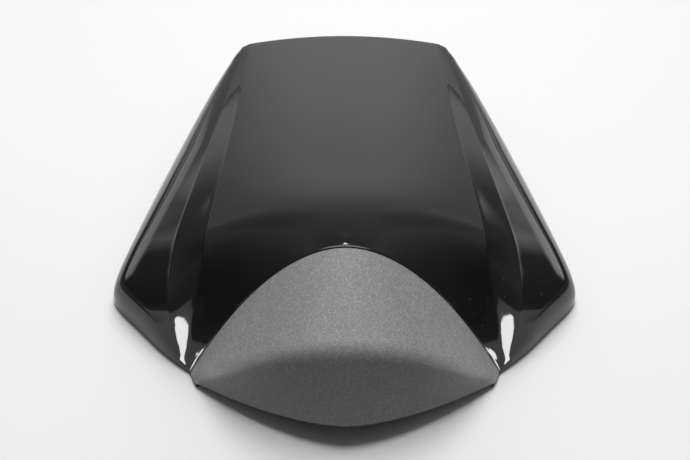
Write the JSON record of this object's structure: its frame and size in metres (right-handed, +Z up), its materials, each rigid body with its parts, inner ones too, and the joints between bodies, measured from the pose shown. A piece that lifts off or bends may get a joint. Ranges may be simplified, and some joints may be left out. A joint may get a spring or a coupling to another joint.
{
  "type": "motorcycle seat cowl",
  "caption": "Moulded solo-seat cowl with a humped gloss shell, flared wings, a textured pad set in its arched front, and a screwed base with hooks and a latch loop.",
  "frame": {"origin": "under the middle of the cowl's box, on the plane that the rim stands on", "axes": "+Y from the pad towards the tail, +X to the right side, +Z up"},
  "size_m": [0.2916, 0.318, 0.0979],
  "materials": {
    "gloss_shell": "gloss black painted ABS",
    "pad_grain": "matte grained moulding",
    "spring_steel": "zinc plated spring steel",
    "base_black": "black moulded polypropylene",
    "zinc": "zinc plated",
    "striker_steel": "bright plated rod",
    "bumper_rubber": "moulded black rubber"
  },
  "bodies": {
    "root": {"cowl_shell": "gloss_shell", "front_pad": "pad_grain", "pad_clips": "spring_steel", "base_plate": "base_black", "base_screws": "zinc", "base_washers": "zinc", "latch_striker": "striker_steel", "striker_plate": "zinc", "striker_washers": "zinc", "striker_nuts": "zinc", "rubber_bumpers": "bumper_rubber"}
  },
  "joints": []
}
